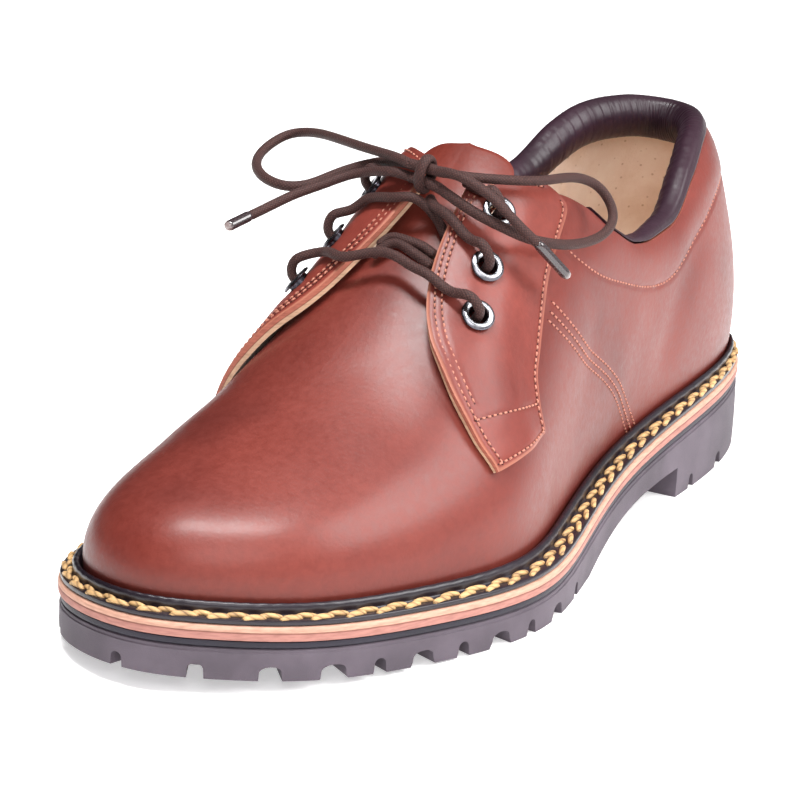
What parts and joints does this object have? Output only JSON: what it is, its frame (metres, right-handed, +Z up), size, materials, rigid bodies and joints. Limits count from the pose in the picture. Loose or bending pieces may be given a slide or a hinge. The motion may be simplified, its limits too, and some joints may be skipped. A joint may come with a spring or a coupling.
{
  "type": "low lace-up shoe",
  "caption": "Low lace-up shoe for the left foot: hollow leather upper with padded collar, tongue and eyelet facings on a stitched welt, leather middle sole and cleated rubber sole.",
  "frame": {"origin": "on the ground under the middle of the sole's outline", "axes": "+Z up, -Y towards the toe, +X towards the outer (lateral) side of the foot"},
  "size_m": [0.1221, 0.3, 0.119],
  "materials": {
    "upper_leather": "smooth waxed full-grain leather, reddish brown",
    "facing_leather": "smooth waxed leather with a light raw edge",
    "collar_leather": "soft dark padded leather",
    "welt_leather": "dark satin strip",
    "natural_leather": "natural veg-tanned edge, polished",
    "dark_rubber": "dark matt rubber",
    "sole_rubber": "matt brown-grey moulded rubber",
    "insole_leather": "light beige smooth leather",
    "eyelet_metal": "polished grey metal",
    "lace_cord": "round waxed braid, dark brown",
    "aglet_plastic": "clear glossy tube"
  },
  "bodies": {
    "root": {"outsole": "sole_rubber", "rubber_midsole": "dark_rubber", "midsole": "natural_leather", "welt": "welt_leather", "insole": "insole_leather", "upper": "upper_leather", "tongue": "upper_leather", "collar": "collar_leather", "facing_lateral": "facing_leather", "facing_medial": "facing_leather", "lace_bar": "lace_cord", "lace_cross_lower": "lace_cord", "lace_cross_upper": "lace_cord", "lace_rise_lateral": "lace_cord", "lace_rise_medial": "lace_cord", "lace_knot": "lace_cord", "lace_loop_medial": "lace_cord", "lace_loop_lateral": "lace_cord", "lace_end_medial": "lace_cord", "lace_end_lateral": "lace_cord", "lace_aglet_medial": "aglet_plastic", "lace_aglet_lateral": "aglet_plastic", "eyelet_lateral_1": "eyelet_metal", "eyelet_lateral_2": "eyelet_metal", "eyelet_lateral_3": "eyelet_metal", "eyelet_medial_1": "eyelet_metal", "eyelet_medial_2": "eyelet_metal", "eyelet_medial_3": "eyelet_metal"}
  },
  "joints": []
}
